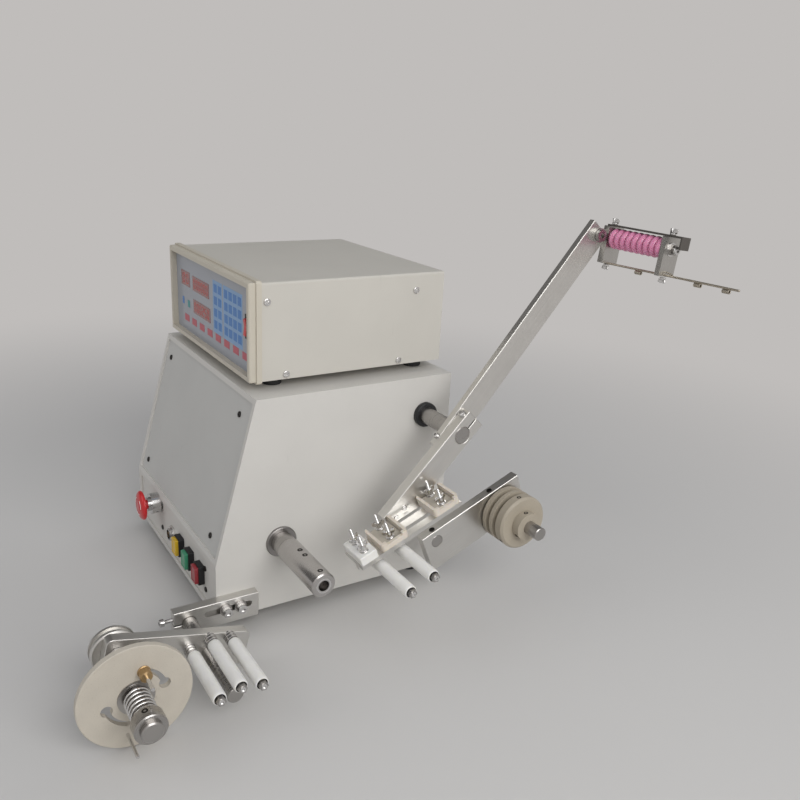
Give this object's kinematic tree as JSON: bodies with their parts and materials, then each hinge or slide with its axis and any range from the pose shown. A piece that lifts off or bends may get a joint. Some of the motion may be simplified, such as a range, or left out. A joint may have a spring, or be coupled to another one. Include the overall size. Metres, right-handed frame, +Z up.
{
  "type": "wire coil winding machine",
  "caption": "Bench winding machine: sloped sheet housing with a controller on top, a powered spindle, a traversing wire guide and a braked wire reel.",
  "frame": {"origin": "middle of the housing's footprint, on the bench", "axes": "+X out of the spindle side, -Y to the operator, +Z up"},
  "size_m": [0.5537, 0.6594, 0.4566],
  "materials": {
    "aluminium": "brushed",
    "bakelite": "satin",
    "black_plastic": "matt",
    "bright_steel": "polished",
    "ceramic": "glazed",
    "controller_paint": "fine texture",
    "cream_plastic": "satin",
    "felt": "matt",
    "green_plastic": "gloss",
    "housing_paint": "fine texture",
    "membrane": "printed",
    "panel_paint": "fine texture",
    "red_plastic": "gloss",
    "rubber": "matt",
    "steel": "turned",
    "white_plastic": "satin",
    "yellow_plastic": "gloss"
  },
  "bodies": {
    "machine": {"housing_shell": "housing_paint", "front_panel": "panel_paint", "button_panel": "housing_paint", "base_plate": "housing_paint", "rubber_feet": "rubber", "spindle_bearings": "steel", "spindle_motor": "black_plastic", "traverse_bush": "black_plastic", "traverse_frame": "steel", "plate_rod": "steel", "carrier_screws": "steel", "estop_collar": "bright_steel", "pedal_socket": "bright_steel", "button_bodies": "black_plastic", "controller_cover": "controller_paint", "controller_base": "controller_paint", "controller_bezel": "cream_plastic", "keypad_panel": "membrane", "rocker_housing": "black_plastic"},
    "spindle": {"spindle_shaft": "steel", "spindle_sleeve": "steel"},
    "motor_rotor": {"motor_pulley": "aluminium"},
    "traverse": {"traverse_rod": "steel"},
    "screw": {"lead_screw": "steel"},
    "arm": {"upper_arm": "aluminium", "tilt_screw": "steel"},
    "ceramic_unit": {"unit_blocks": "steel", "ceramic_axle": "steel", "unit_top_plate": "steel", "wire_rail": "steel"},
    "discs": {"ceramic_discs": "ceramic"},
    "guide_head": {"lower_bar": "aluminium", "guide_plate": "aluminium", "wire_block": "white_plastic", "wire_guards": "cream_plastic", "felt_pads": "felt", "thumb_screws": "bright_steel", "guide_roller_pins": "steel"},
    "guide_roller_a": {"guide_roller_1": "white_plastic"},
    "guide_roller_b": {"guide_roller_2": "white_plastic"},
    "pulley_arm": {"pulley_plate": "aluminium", "pulley_axle": "steel"},
    "pulley": {"grooved_pulley": "bakelite"},
    "carrier": {"slotted_block": "aluminium", "tension_shaft": "steel"},
    "tension_arm": {"tension_bar": "aluminium", "tension_roller_pins": "steel"},
    "tension_roller_a": {"tension_roller_1": "white_plastic"},
    "tension_roller_b": {"tension_roller_2": "white_plastic"},
    "tension_roller_c": {"tension_roller_3": "white_plastic"},
    "reel": {"reel_axle": "steel", "brake_drum": "aluminium", "reel_disc": "bakelite", "brake_spring": "bright_steel", "spring_collar": "steel"},
    "stop_button": {"estop_head": "red_plastic"},
    "yellow_button": {"button_yellow": "yellow_plastic"},
    "green_button": {"button_green": "green_plastic"},
    "red_button": {"button_red": "red_plastic"},
    "power_rocker": {"rocker": "red_plastic"}
  },
  "joints": [
    {"name": "spindle_spin", "type": "hinge", "parent": "machine", "child": "spindle", "pos_m": [0, -0.0723, 0.097], "axis": [1, 0, 0], "continuous": true},
    {"name": "motor_spin", "type": "hinge", "parent": "machine", "child": "motor_rotor", "pos_m": [0, 0.025, 0.075], "axis": [1, 0, 0], "continuous": true},
    {"name": "traverse_slide", "type": "slide", "parent": "machine", "child": "traverse", "axis": [1, 0, 0], "range_m": [-0.045, 0.06]},
    {"name": "screw_turn", "type": "hinge", "parent": "machine", "child": "screw", "pos_m": [0, 0.114, 0.191], "axis": [1, 0, 0], "range_deg": [-3300, 4400]},
    {"name": "arm_swing", "type": "hinge", "parent": "traverse", "child": "arm", "pos_m": [0, 0.114, 0.223], "axis": [1, 0, 0], "range_deg": [-45, 60]},
    {"name": "unit_tilt", "type": "hinge", "parent": "arm", "child": "ceramic_unit", "pos_m": [0, 0.29852, 0.43981], "axis": [1, 0, 0], "range_deg": [-20, 25]},
    {"name": "disc_spin", "type": "hinge", "parent": "ceramic_unit", "child": "discs", "pos_m": [0, 0.31822, 0.43618], "axis": [1, 0, 0], "continuous": true},
    {"name": "head_swing", "type": "hinge", "parent": "traverse", "child": "guide_head", "pos_m": [0, 0.114, 0.223], "axis": [1, 0, 0], "range_deg": [-10, 10]},
    {"name": "guide_roller_1_spin", "type": "hinge", "parent": "guide_head", "child": "guide_roller_a", "pos_m": [0, -0.0085, 0.10802], "axis": [1, 0, 0], "continuous": true},
    {"name": "guide_roller_2_spin", "type": "hinge", "parent": "guide_head", "child": "guide_roller_b", "pos_m": [0, 0.01839, 0.11889], "axis": [1, 0, 0], "continuous": true},
    {"name": "pulley_arm_swing", "type": "hinge", "parent": "machine", "child": "pulley_arm", "pos_m": [0, 0.0895, 0.095], "axis": [1, 0, 0], "range_deg": [-20, 25]},
    {"name": "pulley_spin", "type": "hinge", "parent": "pulley_arm", "child": "pulley", "pos_m": [0, 0.18501, 0.11345], "axis": [1, 0, 0], "continuous": true},
    {"name": "carrier_slide", "type": "slide", "parent": "machine", "child": "carrier", "axis": [0, 1, 0], "range_m": [-0.01, 0.02]},
    {"name": "tension_arm_swing", "type": "hinge", "parent": "carrier", "child": "tension_arm", "pos_m": [0, -0.185, 0.031], "axis": [1, 0, 0], "range_deg": [-9, 0]},
    {"name": "tension_roller_1_spin", "type": "hinge", "parent": "tension_arm", "child": "tension_roller_a", "pos_m": [0, -0.2045, 0.042], "axis": [1, 0, 0], "continuous": true},
    {"name": "tension_roller_2_spin", "type": "hinge", "parent": "tension_arm", "child": "tension_roller_b", "pos_m": [0, -0.1835, 0.0483], "axis": [1, 0, 0], "continuous": true},
    {"name": "tension_roller_3_spin", "type": "hinge", "parent": "tension_arm", "child": "tension_roller_c", "pos_m": [0, -0.1625, 0.0438], "axis": [1, 0, 0], "continuous": true},
    {"name": "reel_spin", "type": "hinge", "parent": "tension_arm", "child": "reel", "pos_m": [0, -0.27383, 0.05337], "axis": [1, 0, 0], "continuous": true},
    {"name": "stop_press", "type": "slide", "parent": "machine", "child": "stop_button", "axis": [0, 1, 0], "range_m": [0, 0.004]},
    {"name": "yellow_press", "type": "slide", "parent": "machine", "child": "yellow_button", "axis": [0, 1, 0], "range_m": [0, 0.002], "stiffness_N_per_m": 400},
    {"name": "green_press", "type": "slide", "parent": "machine", "child": "green_button", "axis": [0, 1, 0], "range_m": [0, 0.002], "stiffness_N_per_m": 400},
    {"name": "red_press", "type": "slide", "parent": "machine", "child": "red_button", "axis": [0, 1, 0], "range_m": [0, 0.002], "stiffness_N_per_m": 400},
    {"name": "power_rock", "type": "hinge", "parent": "machine", "child": "power_rocker", "pos_m": [0, -0.091, 0.338], "axis": [1, 0, 0], "range_deg": [-8, 8]}
  ],
  "couplings": [
    {"joint": "motor_spin", "follows": "spindle_spin", "ratio": 2},
    {"joint": "screw_turn", "follows": "traverse_slide", "rad_per_m": 1256.6}
  ]
}
